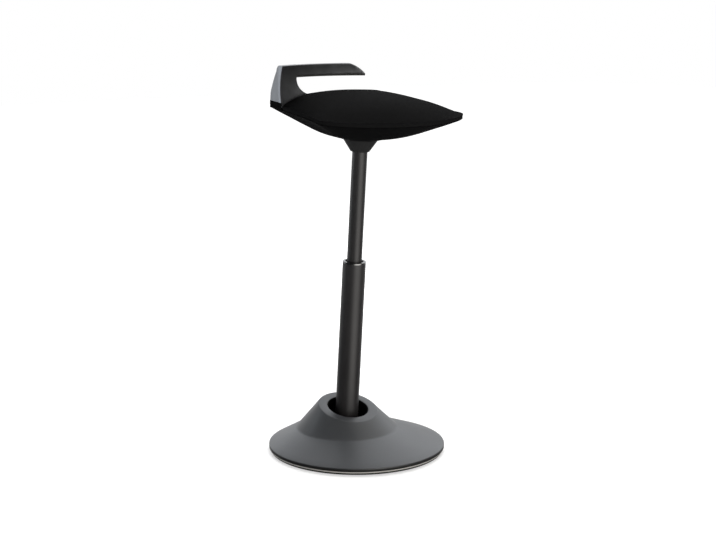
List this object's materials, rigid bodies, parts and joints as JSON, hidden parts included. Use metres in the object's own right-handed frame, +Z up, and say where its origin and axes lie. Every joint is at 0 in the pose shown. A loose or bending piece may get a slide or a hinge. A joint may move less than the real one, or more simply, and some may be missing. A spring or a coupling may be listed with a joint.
{
  "type": "perch stool",
  "caption": "Perch stool: weighted disc base, rocking gas-sprung column and a boat-shaped padded seat with a one-sided rear handle.",
  "frame": {"origin": "centre of the disc base on the floor", "axes": "+Z up, the sitter faces -Y, +X is the sitter's left"},
  "size_m": [0.36, 0.3812, 0.7849],
  "materials": {
    "sole_rubber": "matte moulded rubber",
    "trim_light": "satin light trim",
    "ballast_steel": "primer-black steel plate",
    "cover_grey": "fine-grained grey moulding",
    "liner_black": "dark matte moulding",
    "steel": "zinc-plated steel",
    "elastomer": "dense moulded rubber",
    "tube_black": "satin black powder coat",
    "rim_bright": "bright turned ring",
    "guide_plastic": "self-lubricating plastic",
    "shell_black": "fine-grained black moulding",
    "board": "raw plywood",
    "pad_cover": "closely woven black cover over foam",
    "handle_metal": "satin cast aluminium",
    "grip": "soft black strip"
  },
  "bodies": {
    "base": {"anti_slip_sole": "sole_rubber", "edge_ring": "trim_light", "base_plate": "ballast_steel", "base_cover": "cover_grey", "collar_liner": "liner_black", "cover_screws": "steel", "joint_housing": "steel", "retaining_ring": "steel", "housing_bolts": "steel"},
    "flex": {"flex_bush": "elastomer"},
    "column": {"ball_foot": "steel", "tube_plug": "steel", "stem_nut": "steel", "lower_tube": "tube_black", "tube_rim": "rim_bright", "guide_bush": "guide_plastic", "bearing_plate": "steel"},
    "rod": {"thrust_bearing": "steel", "piston_rod": "steel", "rod_clip": "steel", "piston": "guide_plastic", "piston_seal": "elastomer"},
    "release": {"release_ring": "liner_black"},
    "lever": {"release_lever": "steel"},
    "valve": {"valve_pin": "steel"},
    "seat": {"upper_tube": "tube_black", "rod_guide": "guide_plastic", "valve_body": "steel", "funnel_cover": "shell_black", "seat_carrier": "steel", "seat_shell": "shell_black", "shell_screws": "steel", "seat_board": "board", "board_screws": "steel", "seat_pad": "pad_cover", "guide_pins": "steel", "return_springs": "steel", "lever_pin": "steel", "handle": "handle_metal", "grip_strip": "grip", "handle_screws": "steel"}
  },
  "joints": [
    {"name": "rock_front", "type": "hinge", "parent": "base", "child": "flex", "pos_m": [0, 0.03927, 0.03337], "axis": [1, 0, 0], "range_deg": [-7, 7], "stiffness_Nm_per_rad": 450},
    {"name": "rock_side", "type": "hinge", "parent": "flex", "child": "column", "pos_m": [0, 0.03927, 0.03337], "axis": [0, 1, 0], "range_deg": [-7, 7], "stiffness_Nm_per_rad": 450},
    {"name": "swivel", "type": "hinge", "parent": "column", "child": "rod", "pos_m": [0, 0.0422, 0], "axis": [0, -0.0875, 0.9962], "continuous": true},
    {"name": "height", "type": "slide", "parent": "rod", "child": "seat", "axis": [0, -0.0875, 0.9962], "range_m": [-0.195, 0.035]},
    {"name": "ring_lift", "type": "slide", "parent": "seat", "child": "release", "axis": [0, -0.0875, 0.9962], "range_m": [0, 0.004], "stiffness_N_per_m": 800, "springref_m": -0.001, "deforming": ["return_springs"]},
    {"name": "lever_tilt", "type": "hinge", "parent": "seat", "child": "lever", "pos_m": [0.023, -0.01627, 0.66564], "axis": [0, -0.9962, -0.0875], "range_deg": [0, 11.6]},
    {"name": "valve_press", "type": "slide", "parent": "seat", "child": "valve", "axis": [0, 0.0875, -0.9962], "range_m": [0, 0.0052]}
  ],
  "couplings": [
    {"joint": "lever_tilt", "follows": "ring_lift", "rad_per_m": 50},
    {"joint": "valve_press", "follows": "ring_lift", "ratio": 1.25}
  ]
}
